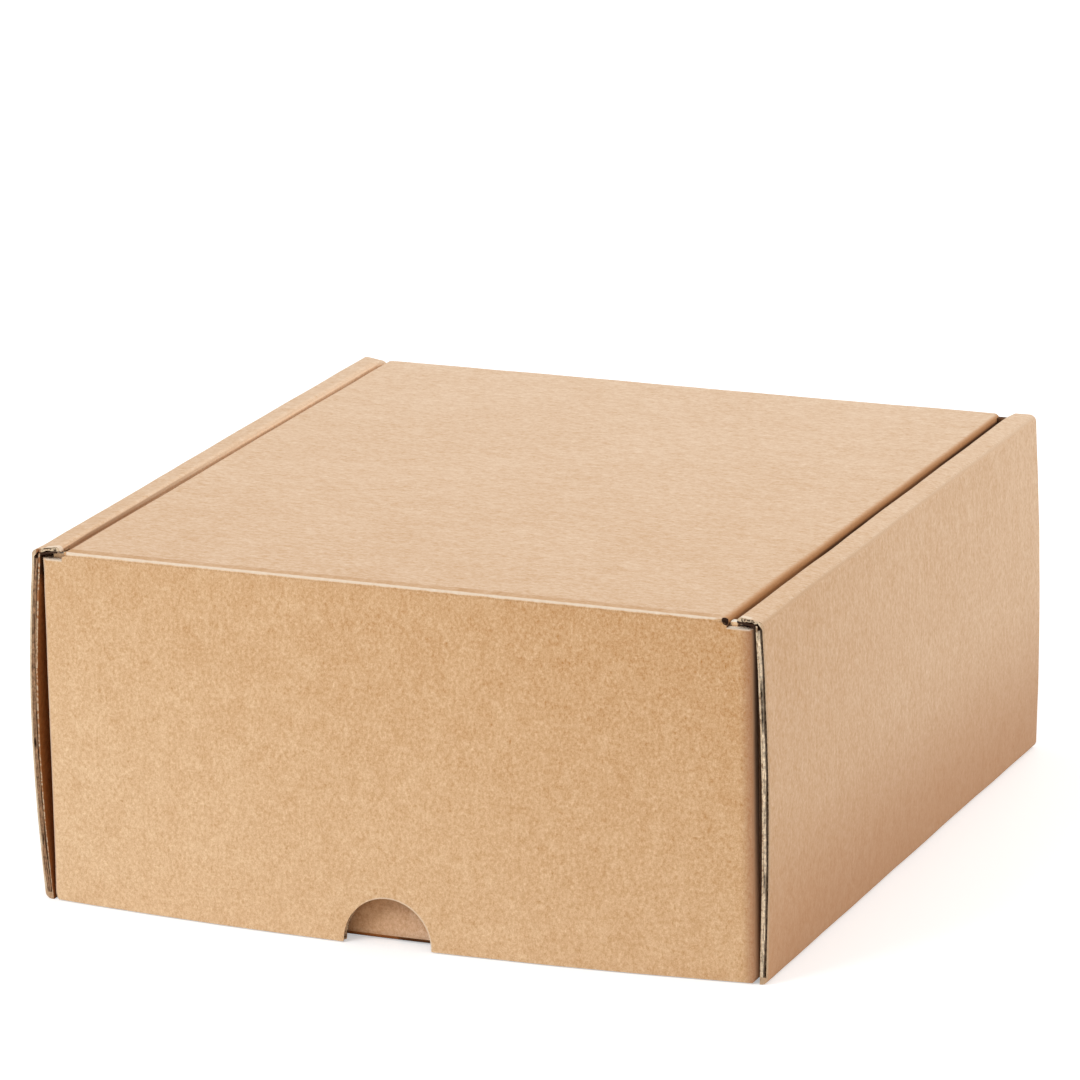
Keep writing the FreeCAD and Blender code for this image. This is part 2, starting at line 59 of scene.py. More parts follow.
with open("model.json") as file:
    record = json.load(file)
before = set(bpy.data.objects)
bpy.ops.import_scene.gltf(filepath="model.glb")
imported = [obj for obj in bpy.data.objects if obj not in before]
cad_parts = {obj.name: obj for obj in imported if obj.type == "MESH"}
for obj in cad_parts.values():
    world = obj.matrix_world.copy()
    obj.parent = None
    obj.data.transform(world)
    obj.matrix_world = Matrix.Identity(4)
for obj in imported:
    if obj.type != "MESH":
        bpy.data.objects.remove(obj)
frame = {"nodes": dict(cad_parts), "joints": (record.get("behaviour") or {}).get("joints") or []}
CAD_LOW, CAD_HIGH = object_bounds()

MM = 0.001

# Sizes of the folded sheet, in millimetres. X is measured from the middle of the box's creases.
BOARD = 3.0
LAYER = 3.3
LINER = 0.6
VOID_DEPTH = 2.0
FLAP_LOW, FLAP_HIGH = (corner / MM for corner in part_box("front_flap"))
BODY_LOW, BODY_HIGH = (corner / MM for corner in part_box("box_body"))
HINGE = Vector(frame["joints"][0]["pos_m"]) / MM
MIDDLE_X = (FLAP_LOW.x + FLAP_HIGH.x) / 2
FLAP_REACH = (FLAP_HIGH.x - FLAP_LOW.x) / 2
HALF_WIDTH = FLAP_REACH + LAYER
FRONT_FACE = BODY_LOW.y
BACK_FACE = BODY_HIGH.y
SIDE_FRONT = FRONT_FACE + 0.4
SIDE_BACK = BACK_FACE - 0.4
LID_TOP = HINGE.z + (HINGE.y - FRONT_FACE)
LID_LEFT, LID_RIGHT = 11.6 - HALF_WIDTH, HALF_WIDTH - 13.4
LID_MIDDLE = (LID_LEFT + LID_RIGHT) / 2
LID_HALF = (LID_RIGHT - LID_LEFT) / 2
SHOULDER = LID_TOP - 3.0
WALL_TOP = LID_TOP - 3.3
MIDDLE_Y = (FRONT_FACE + BACK_FACE) / 2
HALF_DEPTH = (BACK_FACE - FRONT_FACE) / 2
FLAP_FOOT = 0.4
FLAP_BOW = FRONT_FACE - FLAP_LOW.y
NOTCH_X = -1.1
NOTCH_RADIUS = 16.5
ARC_CENTRE_Z = FLAP_FOOT + 0.6
ROLL_TOP = 128.5
ROLL_REACH = HALF_WIDTH - 11.2
POCKET_X = HALF_WIDTH - 5.0
WALL_BOW = 6.0
WALL_BOW_TOP = LID_TOP - 3
WALL_REACH = HALF_WIDTH - 14
SIDES = {
    "left": {"way": -1, "bow": 3.2, "width": 10.8, "rise": 2.0, "sag": 0.8, "droop": 2.9,
             "flutes": (-0.45, 0.0, 0.45)},
    "right": {"way": 1, "bow": 1.6, "width": 9.7, "rise": 1.4, "sag": 0.2, "droop": 1.2,
              "flutes": (0.34, 0.70)},
}


# Painted shade, painted light and some of the papers' own colours, as linear red, green, blue and
# alpha.
HOLLOW_SHADE = (0.045, 0.018, 0.008, 1)
ROLL_FOOT_SHADE = (0.30, 0.14, 0.06, 1)
LID_EDGE_SHADE = (0.50, 0.22, 0.07, 1)
FOLD_SHADE = (0.36, 0.15, 0.075, 1)
GROUND_SHADE = (0.50, 0.24, 0.115, 1)
CUT_FOOT_SHADE = (0.60, 0.38, 0.22, 1)
INNER_BROWN = (0.42, 0.18, 0.07, 1)
MOTTLE_BROWN = (0.30, 0.17, 0.09, 1)
NOTCH_BROWN = (0.58, 0.34, 0.18, 1)
OLD_CUT = (0.50, 0.27, 0.12, 1)
TAN = (0.64, 0.42, 0.25, 1)
LIT_TAN = (1.0, 0.70, 0.42, 1)
LIT_CREAM = (1.0, 0.92, 0.78, 1)
CRUSHED_CREAM_HIGHLIGHT = (1.0, 0.84, 0.66, 1)
LEFT_VOID = (0.42, 0.27, 0.16, 1)
LEFT_FLUTES = (0.37, 0.21, 0.115, 1)
RIGHT_FLANK = (0.58, 0.43, 0.28, 1)
RIGHT_FLUTES = (0.80, 0.63, 0.44, 1)

# How much of each colour the front wall keeps under its painted shade, and the gain of the painted
# light on the left roll's slope.
WALL_SHADE_TINT = (0.93, 0.88, 0.93)
SLOPE_GAIN = 1.32
# How strongly a darker fibre takes red, green and blue away from kraft paper.
BROWNING = (0.58, 0.95, 1.40)
# Fibres in a millimetre along each axis, on faces that look forward, sideways and up.
GRAIN_FRONT = (0.85, 0.85, 0.70)
GRAIN_SIDE = (0.65, 0.65, 0.36, 1)
GRAIN_LID = (0.32, 0.80, 0.80, 1)
PAPER_GLOSS = 0.25
HOLLOW_GLOSS = 0.06

# Each lamp's name, place and size in metres, and power in watts.
LAMPS = (
    ("key", (-1.0, -1.5, 1.7), 1.0, 22),
    ("fill", (2.2, 0.6, 1.3), 1.6, 17),
    ("back", (0.0, 2.4, 1.8), 1.6, 14))
LAMP_AIM = Vector((0, 0, 0.06))
FLOOR_RADIUS = 9.0
FLOOR_GLOW = 0.42


class KraftColours(bpy.types.PropertyGroup):
    """Colours of the papers, as linear values."""

    # The liner is one paper; its colours on top, front and sides differ as painted light, the top
    # paler as a painted sheen.
    lid: FloatVectorProperty(
        name="Top faces", description="Liner colour on faces that look up",
        subtype="COLOR", min=0, max=1, default=(0.745, 0.530, 0.358))
    front: FloatVectorProperty(
        name="Front faces", description="Liner colour on faces that look to the front or back",
        subtype="COLOR", min=0, max=1, default=(0.743, 0.471, 0.256))
    side: FloatVectorProperty(
        name="Side faces", description="Liner colour on faces that look to the sides",
        subtype="COLOR", min=0, max=1, default=(0.732, 0.490, 0.308))
    crease: FloatVectorProperty(
        name="Worn crease", description="Pale paper where the front crease is worn",
        subtype="COLOR", min=0, max=1, default=(0.88, 0.73, 0.57))
    edge: FloatVectorProperty(
        name="Cut edge", description="Papers of the board in a fresh cut",
        subtype="COLOR", min=0, max=1, default=(0.80, 0.62, 0.42))
    medium: FloatVectorProperty(
        name="Fluted paper", description="Fluted paper between the liners",
        subtype="COLOR", min=0, max=1, default=(0.62, 0.42, 0.26))
    # The inside's colour is partly the browner paper and partly painted shade.
    inside: FloatVectorProperty(
        name="Inside", description="Liner colour inside the box and its pockets",
        subtype="COLOR", min=0, max=1, default=(0.36, 0.13, 0.036))
    # The void is painted nearly black, as painted shade between the papers.
    void: FloatVectorProperty(
        name="Void", description="Inside of the board between the papers",
        subtype="COLOR", min=0, max=1, default=(0.12, 0.055, 0.025))


class BoardSizes(bpy.types.PropertyGroup):
    """Sizes of the board's fine shape."""

    grid: FloatProperty(
        name="Grid", description="Spacing of the mesh that carries the board's unevenness",
        unit="LENGTH", min=0.002, max=0.05, default=0.006)
    unevenness: FloatProperty(
        name="Unevenness", description="How far the panels sink between their folds",
        unit="LENGTH", min=0, max=0.002, default=0.0004)
    flute_pitch: FloatProperty(
        name="Flute pitch", description="Distance from one flute to the next",
        unit="LENGTH", min=0.002, max=0.01, default=0.0065)
    medium_thickness: FloatProperty(
        name="Fluted paper", description="Thickness of the fluted paper",
        unit="LENGTH", min=0.0001, max=0.001, default=0.00025)


class StageSettings(bpy.types.PropertyGroup):
    """Camera, lamps and floor."""

    camera_place: FloatVectorProperty(
        name="Camera", description="Place of the camera", subtype="TRANSLATION", unit="LENGTH",
        default=(0.94634, -2.23888, 0.80361))
    camera_turn: FloatVectorProperty(
        name="Camera turn", description="Turn of the camera", subtype="EULER", unit="ROTATION",
        default=tuple(math.radians(a) for a in (74.0092, 1.068, 22.6385)))
    lens: FloatProperty(
        name="Lens", description="Focal length in millimetres on a 36 mm sensor", min=20, max=500,
        unit="CAMERA", default=234.547)
    sky: FloatProperty(
        name="Sky", description="Strength of the even light from all round", min=0, max=2,
        subtype="FACTOR", default=0.62)
    floor: FloatVectorProperty(
        name="Floor", description="Colour of the floor", subtype="COLOR", min=0, max=1,
        default=(0.80, 0.80, 0.80))


class Wire:
    """A socket of a shader tree. Arithmetic on wires adds Math nodes."""

    def __init__(self, tree, socket=None):
        self.tree = tree
        self.socket = socket

    def node(self, kind, settings=None, inputs=None, output=0):
        """Adds a node, with its settings first and then its sockets' values or links."""
        made = self.tree.nodes.new(kind)
        for name, value in (settings or {}).items():
            setattr(made, name, value)
        for key, value in (inputs or {}).items():
            if isinstance(value, Wire):
                self.tree.links.new(value.socket, made.inputs[key])
            else:
                made.inputs[key].default_value = value
        return Wire(self.tree, made.outputs[output])

    def maths(self, operation, *values):
        return self.node("ShaderNodeMath", {"operation": operation}, dict(enumerate(values)))

    def __add__(self, other):
        return self.maths("ADD", self, other)

    def __radd__(self, other):
        return self.maths("ADD", other, self)

    def __sub__(self, other):
        return self.maths("SUBTRACT", self, other)

    def __rsub__(self, other):
        return self.maths("SUBTRACT", other, self)

    def __mul__(self, other):
        return self.maths("MULTIPLY", self, other)

    def __rmul__(self, other):
        return self.maths("MULTIPLY", other, self)

    def __truediv__(self, other):
        return self.maths("DIVIDE", self, other)

    def __abs__(self):
        return self.maths("ABSOLUTE", self)

    def least(self, other):
        return self.maths("MINIMUM", self, other)

    def most(self, other):
        return self.maths("MAXIMUM", self, other)

    def step(self, low, high):
        """0 below low and 1 above high, with a smooth change between. High may be the lower."""
        return self.node(
            "ShaderNodeMapRange", {"interpolation_type": "SMOOTHSTEP"},
            {"Value": self, "From Min": low, "From Max": high})

    def band(self, low, high, soft):
        """1 between low and high, fading out over soft."""
        return self.step(low - soft, low) * self.step(high + soft, high)

    def scaled(self, factors, shift=(0, 0, 0)):
        """The vector with each part multiplied, and moved."""
        return self.node(
            "ShaderNodeMapping", {}, {"Vector": self, "Scale": factors, "Location": shift})

    def noise(self, detail=2.0, roughness=0.5, shift=0.0):
        """Noise about 1 unit across, from 0 to 1 round 0.5, at this vector."""
        return self.node(
            "ShaderNodeTexNoise", {},
            {"Vector": self.scaled((1, 1, 1), (shift, shift * 2, -shift)), "Scale": 1.0,
             "Detail": detail, "Roughness": roughness})

    def tinted(self, colour, share):
        """This colour, moved towards another one by a share."""
        return self.node(
            "ShaderNodeMix", {"data_type": "RGBA", "clamp_factor": True},
            {0: share, 6: self, 7: colour}, output=2)

    def shaded(self, factor):
        """This colour multiplied by a number."""
        return self.node("ShaderNodeVectorMath", {"operation": "SCALE"}, {0: self, "Scale": factor})

    def times(self, vector):
        """This vector or colour multiplied by another, part by part."""
        return self.node("ShaderNodeVectorMath", {"operation": "MULTIPLY"}, {0: self, 1: vector})

    def browned(self, tone):
        """This colour made paler by a positive tone and browner by a negative one."""
        shares = [tone * weight + 1 for weight in BROWNING]
        return self.times(self.node("ShaderNodeCombineXYZ", {}, dict(enumerate(shares))))


def parts(vector):
    """The X, Y and Z of a vector, as three wires."""
    outputs = vector.node("ShaderNodeSeparateXYZ", {}, {0: vector}).socket.node.outputs
    return tuple(Wire(vector.tree, outputs[n]) for n in range(3))


def join_output(wire, shader):
    output = wire.tree.nodes.new("ShaderNodeOutputMaterial")
    wire.tree.links.new(shader.socket, output.inputs["Surface"])


class Paper:
    """A material in the making, with the place and the facing of a point as wires.

    Places are in millimetres, and X is measured from the middle of the box.
    """

    def __init__(self, name):
        self.material = bpy.data.materials.new(name)
        self.material.use_nodes = True
        self.material.node_tree.nodes.clear()
        self.wire = Wire(self.material.node_tree)
        self.place = self.wire.node("ShaderNodeTexCoord", output="Object").scaled((1 / MM,) * 3)
        x, self.y, self.z = parts(self.place)
        self.x = x - MIDDLE_X
        facing = parts(self.wire.node("ShaderNodeTexCoord", output="Normal"))
        self.facing_x, self.facing_y, self.facing_z = facing
        self.behind = self.y - FRONT_FACE
        self.below = LID_TOP - self.z
        self.left = self.x.step(1, -1)
        self.upright_cut = abs(self.facing_y).step(0.5, 0.8)
        self.level_cut = self.facing_z.step(0.5, 0.8)

    def colour(self, linear):
        return self.wire.node("ShaderNodeCombineColor", {}, dict(enumerate(linear)))

    def grain(self, scale, detail, roughness, shift):
        """Noise with scale features in a millimetre, from 0 to 1."""
        return self.place.scaled((scale,) * 3).noise(detail, roughness, shift)

    def relief(self):
        """The mask of painted shade in the round die-cut hole at the right end of the front crease.
        """
        off = (self.x - LID_RIGHT + 0.1, self.behind - 0.8, self.z - LID_TOP + 0.7)
        squared = off[0] * off[0] + off[1] * off[1] + off[2] * off[2]
        return squared.step(3.6, 2.6)

    def from_arc(self):
        """How far outside the thumb notch's arc."""
        across, up = self.x - NOTCH_X, self.z - ARC_CENTRE_Z
        squared = across * across + up * up
        return squared.maths("SQRT", squared) - NOTCH_RADIUS

    def past_lid(self):
        """Beside the lid, where the shoulders and the side pockets are."""
        return abs(self.x - LID_MIDDLE).step(LID_HALF - 0.1, LID_HALF + 0.1)

    def wall_corner(self):
        """The front wall's corners, above the flap's shoulders and beside the lid."""
        beside = self.past_lid() * abs(self.x).step(POCKET_X, POCKET_X - 0.5)
        level = self.z.band(SHOULDER + 0.2, LID_TOP - 0.6, 0.2)
        return beside * level * self.behind.band(BOARD, 6.5, 0.1)

    def side_depth(self):
        """How far in from the outer face of the bulging side wall."""
        bulge = (self.z - ROLL_TOP / 2) / (ROLL_TOP / 2)
        left, right = SIDES["left"]["bow"], SIDES["right"]["bow"]
        bow = self.x.step(-1, 1) * (right - left) + left
        return HALF_WIDTH - abs(self.x) + bow * (1 - bulge * bulge)

    def finished(self, colour, roughness, height, strength, distance, gloss=PAPER_GLOSS):
        """The material, made of paper with a bumpy surface."""
        normal = self.wire.node(
            "ShaderNodeBump", {},
            {"Strength": strength, "Distance": distance, "Height": height})
        shader = self.wire.node(
            "ShaderNodeBsdfPrincipled", {},
            {"Base Color": colour, "Roughness": roughness, "Normal": normal,
             "Specular IOR Level": gloss})
        join_output(self.wire, shader)
        return self.material


def fibre_tone(paper, up, sideways):
    """The tone of the fibres, speckles and clouds, and the height of the paper's surface."""
    # The fibres lie along the flutes: across the lid, upright on the sides.
    grain = paper.colour(GRAIN_FRONT).tinted(GRAIN_SIDE, sideways).tinted(GRAIN_LID, up)
    fibres = paper.place.times(grain)
    speckle = fibres.noise(3.0, 0.62) - 0.5
    fine = fibres.scaled((2.7, 2.7, 2.7)).noise(2.0, 0.6, 13.0) - 0.5
    mottle = fibres.scaled((0.19, 0.19, 0.19)).noise(3.0, 0.6, 5.0) - 0.5
    cloud = paper.grain(0.018, 2.0, 0.5, 31.0) - 0.5
    upright = paper.place.scaled((1.6, 1.6, 0.28)).noise(1.0, 0.5, 7.0)
    lying = paper.place.scaled((0.28, 1.6, 1.6)).noise(1.0, 0.5, 17.0)
    dark_fibre = upright.step(0.68, 0.76).most(lying.step(0.71, 0.79))
    fleck = paper.grain(0.9, 1.0, 0.5, 23.0).step(0.70, 0.78)
    contrast = 1.15 - up * 0.35 - sideways * 0.40
    tone = (speckle * 0.85 + fine * 0.75 + mottle * 0.30) * contrast + cloud * 0.10
    tone = tone - dark_fibre * 0.16 * contrast + fleck * 0.14 * contrast
    # Painted light and shade: the tone drifts over each panel, paler to the lower left of the front
    # and to the back.
    across = paper.x / FLAP_REACH
    deep = (paper.y - MIDDLE_Y) / HALF_DEPTH
    high = (paper.z - LID_TOP / 2) / (LID_TOP / 2)
    tone = tone - (across + high) * 0.11 * (1 - up) * (1 - sideways)
    tone = tone + sideways * (deep * 0.10 - 0.02) + up * (deep * 0.06 - 0.03)
    return tone, speckle * 0.8 + fine * 0.5 + mottle * 0.4


def worn_crease(paper, colour, crease):
    """The front crease: pale and worn, with a band of painted shade in the lid behind it."""
    along = paper.place.scaled((0.13, 0, 0)).noise(3.0, 0.6, 3.0) - 0.5
    patchy = paper.place.scaled((0.5, 0, 0)).noise(2.0, 0.6, 43.0)
    on_crease = paper.x.band(LID_LEFT + 1.4, LID_RIGHT - 5.0, 2.5)
    # Painted shade in a band behind the crease.
    crease_band_shade = paper.behind.band(1.4, 4.2, 1.4) * paper.below.step(0.8, 0.3) * on_crease
    colour = colour.browned((crease_band_shade * -0.30) * (0.7 + along * 2))
    near_edge = paper.behind.most(paper.below) - along
    wear = near_edge.step(1.0, 0.55) * on_crease * (0.55 + patchy * 0.6)
    return colour.tinted(crease, wear)


def shaded_edges(paper, colour):
    """Painted brown shade at the lid's right edge, the left roll's foot and the flap's right fold,
    with painted black shade in the gaps beside the lid and the fold.
    """
    x, behind, below = paper.x, paper.behind, paper.below
    deep = (paper.y - MIDDLE_Y) / HALF_DEPTH

    lid_end = x.step(LID_RIGHT + 1, LID_RIGHT + 0.5) * below.step(6.0, 4.0) * behind.step(0.3, 1.2)
    # Painted shade on the lid's right edge, and painted black shade in the gap at its foot.
    crushed = x.step(LID_RIGHT - 2.6 + deep * 0.6, LID_RIGHT - 0.2) * lid_end
    colour = colour.tinted(LID_EDGE_SHADE, crushed * 0.8)
    foot = x.step(LID_RIGHT - 0.35, LID_RIGHT - 0.05) * lid_end * below.step(1.5, 2.7)
    colour = colour.tinted(HOLLOW_SHADE, foot * 0.85)

    # Painted shade at the foot of the left roll's inner slope.
    from_side = x + HALF_WIDTH
    foot = from_side.step(9.4, 10.4) * from_side.step(11.3, 11.0)
    foot = foot * below.band(-0.1, 0.8, 0.5) * deep.step(0.3, -0.9) * behind.step(1, 2)
    colour = colour.tinted(ROLL_FOOT_SHADE, foot * 0.8)

    # Painted shade on the flap's right fold, and painted black shade in the gap beyond it.
    fold = abs(x).step(FLAP_REACH - 6.5, FLAP_REACH - 1.0) * behind.step(BOARD, 0)
    fold = fold * abs(paper.facing_y).step(0.1, 0.5) * x.step(0.0, 1.0)
    colour = colour.tinted(FOLD_SHADE, fold * 0.72)
    edge = x.step(FLAP_REACH - 1.4, FLAP_REACH - 0.4) * behind.step(BOARD + 0.4, BOARD)
    edge = edge * x.step(FLAP_REACH + 0.6, FLAP_REACH + 0.3) * paper.z.step(LID_TOP, SHOULDER)
    return colour.tinted(HOLLOW_SHADE, edge * 0.85)


def pale_rims(paper, colour, crease):
    """Pale edging on the notch's right side, a painted highlight along the shoulders, and painted
    light on the front wall's corners.
    """
    x, z, behind = paper.x, paper.z, paper.behind
    rim = paper.from_arc().step(0.6, 0.2) * behind.step(-2.0, -3.0) * (x - NOTCH_X).step(-12, -2)
    colour = colour.tinted(crease, rim * 0.6)
    # A painted highlight along the shoulders' top edge.
    rim = z.step(SHOULDER - 0.8, SHOULDER - 0.2) * behind.step(BOARD + 0.2, BOARD)
    rim = rim * paper.past_lid() * abs(x).step(POCKET_X + 0.5, POCKET_X - 0.5)
    colour = colour.tinted(crease, rim * 0.8)
    # Painted light on the front wall's corners.
    return colour.tinted(LIT_TAN, paper.wall_corner())


def side_stains(paper, colour, sideways, crease):
    """Painted shade browns the side walls towards the ground, and a painted highlight makes the
    flap's left fold pale.
    """
    colour = colour.tinted(GROUND_SHADE, sideways * paper.z.step(70.0, 0.0) * 0.62)
    fold_highlight = paper.x.step(2.0 - FLAP_REACH, 0.8 - FLAP_REACH) * paper.behind.step(2.2, 1.2)
    return colour.tinted(crease, fold_highlight * abs(paper.facing_x).step(1.0, 0.9) * 0.3)


def front_wall_shade(paper, colour):
    """The front wall is painted browner as the flap's shade, and catches a little painted light
    from the notch.
    """
    x, z = paper.x, paper.z
    outwards = x / WALL_REACH
    off_flap = (1 - outwards * outwards) * (1 - z / WALL_BOW_TOP) * WALL_BOW + paper.behind
    wall = off_flap.band(3.8, 8.0, 0.3) * abs(paper.facing_y).step(0.5, 0.9)
    wall = wall * paper.behind.step(40, 30) * abs(x).step(WALL_REACH + 2, WALL_REACH)
    from_notch = (x - NOTCH_X) / NOTCH_RADIUS
    caught = (from_notch.most(-1).least(1) * 0.27 - z.least(20) * 0.014 + 0.20).most(-0.12)
    caught = caught * abs(from_notch).step(5.0, 1.0) * z.step(90.0, 16.0)
    colour = colour.tinted(colour.times(WALL_SHADE_TINT), wall)
    return colour.browned((caught - 0.20) * wall)


def kraft_liner(colours):
    """The outer paper: speckled fibres, mottling, a worn front crease, and painted light and shade
    on its edges, folds and walls.
    """
    paper = Paper("kraft_liner")
    up = paper.facing_z.step(0.45, 0.85)
    sideways = abs(paper.facing_x).step(0.45, 0.85)
    crease = (*colours.crease, 1)
    # Each facing gets its own liner colour, as painted light on one paper.
    colour = paper.colour(colours.front)
    colour = colour.tinted((*colours.side, 1), sideways).tinted((*colours.lid, 1), up)

    # The left roll's inner slope is as bright as its top, though it looks away from the lamps.
    from_side = paper.x + HALF_WIDTH
    slope = from_side.step(7.5, 9.5) * from_side.step(11.3, 11.0)
    slope = slope * paper.z.step(LID_TOP - 0.6, LID_TOP) * (1 - up * 0.75)
    colour = colour.tinted([SLOPE_GAIN * part for part in colours.lid] + [1], slope)

    tone, height = fibre_tone(paper, up, sideways)
    colour = worn_crease(paper, colour.browned(tone), crease)
    colour = pale_rims(paper, shaded_edges(paper, colour), crease)
    colour = side_stains(paper, colour, sideways, crease)
    # Painted shade fills the round hole at the crease's right end.
    colour = front_wall_shade(paper, colour).tinted(HOLLOW_SHADE, paper.relief())
    return paper.finished(colour, 0.86, height, 0.35, 0.0004)


def kraft_inside_shaded(colours):
    """The browner paper inside the box, where it shows in the gaps, painted darker still as their
    shade.
    """
    paper = Paper("kraft_inside_shaded")
    speckle = paper.grain(0.6, 3.0, 0.62, 8.0) - 0.5
    # Painted shade: black in the upper front corners and in the gap inside the right front.
    corner = paper.z.step(114, 121) * paper.behind.step(45, 12) * 0.9
    gap = paper.x.step(-1, 1) * paper.behind.step(24, 6) * 0.7
    colour = paper.colour(colours.inside).browned(speckle).tinted(HOLLOW_SHADE, corner.most(gap))
    return paper.finished(colour, 0.9, speckle, 0.35, 0.0004, HOLLOW_GLOSS)


def cut_side_walls(paper, colour):
    """The side walls' cuts, tan outside and brown inside, and the right one's inner liner."""
    left, right = paper.left, 1 - paper.left
    depth = paper.side_depth()
    in_side = depth.step(3.8, 3.4) * paper.upright_cut
    inner = depth.step(1.2, 1.7)
    colour = colour.tinted(TAN, in_side * (1 - inner) * right * 0.85)
    bead = paper.grain(0.9, 1.0, 0.5, 27.0).step(0.40, 0.62)
    colour = colour.tinted(INNER_BROWN, in_side * inner * left * (1 - bead * 0.75))
    # Painted shade darkens the cuts towards the floor.
    colour = colour.tinted(CUT_FOOT_SHADE, paper.z.step(5.0, 2.5) * paper.upright_cut * 0.75)
    return colour, in_side * inner * right


def cut_roll_ends(paper, colour):
    """The rolled strips' crushed ends, with painted shade in their holes and along their lower
    liner.
    """
    inward = HALF_WIDTH - abs(paper.x)
    above = paper.z - (inward * (paper.left * 0.041 + 0.144) + ROLL_TOP - 2.4)
    in_roll = inward.step(2.8, 3.2) * paper.z.step(125.8, 126.1) * paper.upright_cut
    hole_shade = paper.grain(0.8, 2.0, 0.6, 61.0).step(0.54, 0.60) * 0.85
    return colour.tinted(HOLLOW_SHADE, in_roll * above.step(0.75, 0.60).most(hole_shade))


def cut_paper(colours):
    """The papers' own edges in a cut: pale, torn and fibrous."""
    paper = Paper("cut_paper")
    torn = paper.grain(1.3, 3.0, 0.65, 2.0)
    patch = paper.grain(0.35, 2.0, 0.5, 9.0)
    colour = paper.colour(colours.edge).tinted(OLD_CUT, patch.step(0.50, 0.66) * 0.35)
    colour, right_inner = cut_side_walls(paper, colour)
    colour = cut_roll_ends(paper, colour)

    # The shoulders' papers are crushed shut and pale, painted brighter as a highlight, and the
    # front wall's corners get painted light.
    shoulder = paper.z.band(SHOULDER - 0.5, SHOULDER + 0.2, 0.1) * paper.behind.step(3.4, 3.1)
    colour = colour.tinted(CRUSHED_CREAM_HIGHLIGHT, shoulder * paper.level_cut)
    mottled = paper.place.scaled((0.9, 0.9, 0.7)).noise(2.0, 0.6, 71.0).step(0.52, 0.60)
    colour = colour.tinted(MOTTLE_BROWN, right_inner * mottled * 0.8)
    corner = paper.wall_corner()
    colour = colour.tinted(LIT_CREAM, corner * paper.level_cut)

    # The notch's left side cuts across the flutes, and their open ends are painted dark as shade.
    across = paper.from_arc().step(0.5, 0.3) * (paper.x - NOTCH_X).step(-4, -9)
    pit_shade = paper.grain(0.62, 1.0, 0.5, 81.0).step(0.49, 0.55)
    colour = colour.tinted(NOTCH_BROWN, across * 0.7).tinted(HOLLOW_SHADE, across * pit_shade * 0.85)

    # Painted shade darkens the cut above the front wall towards the side pockets, and fills the
    # round hole at the crease's right end.
    pocket = paper.behind.step(3.4, 4.0) * paper.level_cut * (1 - corner)
    pocket = pocket * (abs(paper.x) - paper.left * 2.6).step(125.4, 126.6)
    colour = colour.tinted(HOLLOW_SHADE, pocket).tinted(HOLLOW_SHADE, paper.relief())
    return paper.finished(colour.shaded(0.62 + torn * 0.60), 0.9, torn, 0.6, 0.0006)


def flute_void(colours):
    """The inside of the board, painted dark as its shade, with the fluted paper's flanks in the
    side walls.
    """
    paper = Paper("flute_void")
    patch = paper.grain(0.5, 2.0, 0.5, 4.0)
    torn = paper.place.scaled((1.1, 1.1, 0.8)).noise(3.0, 0.6, 14.0)
    depth = paper.side_depth()
    in_side = depth.step(3.8, 3.4) * paper.z.step(126.0, 125.0)
    colour = paper.colour(colours.void)
    colour = colour.tinted(LEFT_VOID, in_side * paper.left * torn.step(0.20, 0.50))
    flank = in_side * (1 - paper.left) * depth.step(1.2, 1.7) * torn.step(0.40, 0.60)
    colour = colour.tinted(RIGHT_FLANK, flank * 0.9).shaded(0.4 + patch * 1.2)
    return paper.finished(colour, 0.95, patch, 0.4, 0.0006, HOLLOW_GLOSS)


def fluted_paper(colours):
    """The wavy paper between the liners."""
    paper = Paper("fluted_paper")
    torn = paper.grain(0.9, 3.0, 0.6, 6.0)
    bead = paper.grain(0.55, 2.0, 0.5, 51.0)
    in_side = paper.side_depth().step(3.8, 3.4) * paper.z.step(126.6, 125.6)
    colour = paper.colour(colours.medium).tinted(RIGHT_FLUTES, in_side * (1 - paper.left))
    colour = colour.tinted(LEFT_FLUTES, in_side * paper.left)
    colour = colour.shaded(torn * 2.2 + bead * 0.6 - 0.45)
    return paper.finished(colour, 0.9, torn, 0.5, 0.0005)


def material_list():
    """The board's materials in the order of a piece's slots, made once."""
    colours = bpy.context.scene.kraft_colours
    makers = (kraft_liner, cut_paper, flute_void, fluted_paper, kraft_inside_shaded)
    return [bpy.data.materials.get(maker.__name__) or maker(colours) for maker in makers]


LINER_SLOT, CUT_SLOT, VOID_SLOT, MEDIUM_SLOT, INSIDE_SLOT = range(5)


# Lengths of the panels' waves, and how near the hinge they are still, in millimetres.
LONG_WAVE, SHORT_WAVE = 55, 17
STILL_RANGE = 6


def unevenness(point, amount):
    """How far a point of the sheet sinks, in millimetres: always towards the box's inside."""
    x, y, z = point.x - MIDDLE_X, point.y - MIDDLE_Y, point.z

    def sink(a, b, seed):
        value = noise.noise(Vector((a / LONG_WAVE, b / LONG_WAVE, seed)))
        value += 0.35 * noise.noise(Vector((a / SHORT_WAVE, b / SHORT_WAVE, seed + 4)))
        return amount * min(max(0.5 + 0.8 * value, 0), 1)

    off_hinge = abs(z - HINGE.z) / STILL_RANGE, abs(point.y - HINGE.y) / STILL_RANGE
    still = max(0.0, 1 - off_hinge[0]) * max(0.0, 1 - off_hinge[1])
    move = Vector((
        -math.copysign(sink(y, z, 1.5), x) * min(abs(x) / HALF_WIDTH, 1) ** 4,
        -math.copysign(sink(x, z, 2.5), y) * min(abs(y) / HALF_DEPTH, 1) ** 4,
        -sink(x, y, 3.5) * min(z / LID_TOP, 1) ** 4))
    return move * (1 - still)


SLACK = 0.06


def spans(values, low, high, slack=SLACK):
    """Whether all values lie between low and high."""
    return min(values) > low - slack and max(values) < high + slack


